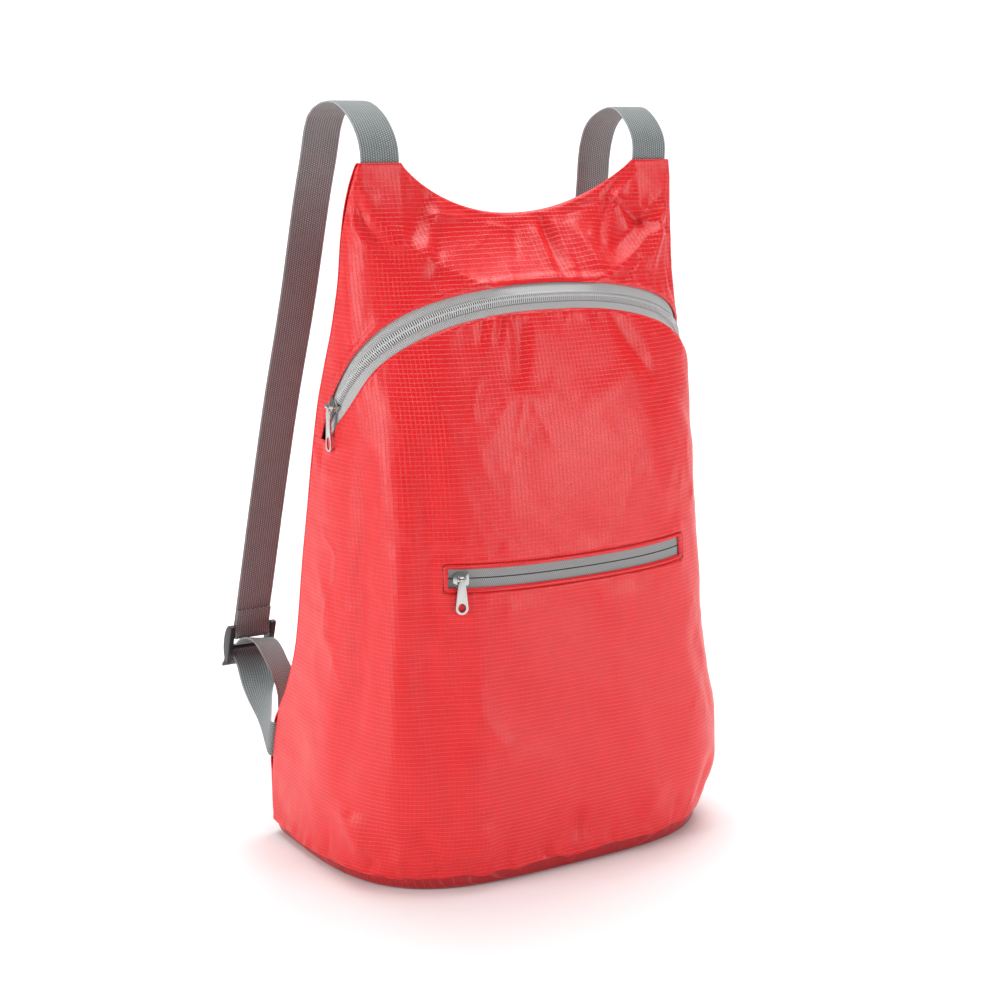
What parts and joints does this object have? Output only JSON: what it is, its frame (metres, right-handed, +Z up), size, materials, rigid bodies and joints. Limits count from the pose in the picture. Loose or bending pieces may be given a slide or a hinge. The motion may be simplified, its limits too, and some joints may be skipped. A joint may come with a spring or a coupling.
{
  "type": "packable backpack",
  "caption": "Light packable backpack of ripstop cloth with an arched main zip, a zipped front pocket and webbing shoulder straps on ladder-lock buckles",
  "frame": {"origin": "centre of the flat resting face under the base", "axes": "+Z up, the front with the pocket faces -Y, +X to the right seen from the front, +Y towards the wearer's side with the straps"},
  "size_m": [0.2826, 0.2462, 0.4655],
  "materials": {
    "shell_cloth": "thin coated ripstop, soft sheen",
    "base_cloth": "thin coated ripstop, soft sheen",
    "webbing": "ribbed flat webbing, matt",
    "main_zip_tape": "woven zip tape, matt",
    "pocket_zip_tape": "woven zip tape, matt",
    "zip_coil": "moulded nylon coil",
    "zip_metal": "bright plated",
    "buckle_plastic": "moulded, slightly satin"
  },
  "bodies": {
    "bag": {"front_panel": "shell_cloth", "yoke_panel": "shell_cloth", "back_panel": "shell_cloth", "base_panel": "base_cloth", "main_zip_tape_upper": "main_zip_tape", "main_zip_tape_lower": "main_zip_tape", "main_zip_coil": "zip_coil", "pocket_zip_tape_upper": "pocket_zip_tape", "pocket_zip_tape_lower": "pocket_zip_tape", "pocket_zip_coil": "zip_coil", "main_slider": "zip_metal", "pocket_slider": "zip_metal", "strap_left": "webbing", "strap_right": "webbing", "buckle_left": "buckle_plastic", "buckle_right": "buckle_plastic", "lower_strap_left": "webbing", "lower_strap_right": "webbing"},
    "main_pull_body": {"main_pull": "zip_metal"},
    "pocket_pull_body": {"pocket_pull": "zip_metal"}
  },
  "joints": [
    {"name": "main_pull_hinge", "type": "hinge", "parent": "bag", "child": "main_pull_body", "pos_m": [-0.12482, 0.00337, 0.28944], "axis": [-0.0611, 0.9981, 0], "range_deg": [0, 160]},
    {"name": "pocket_pull_hinge", "type": "hinge", "parent": "bag", "child": "pocket_pull_body", "pos_m": [-0.07603, -0.06859, 0.19394], "axis": [-0.956, 0.2933, 0], "range_deg": [0, 160]}
  ]
}
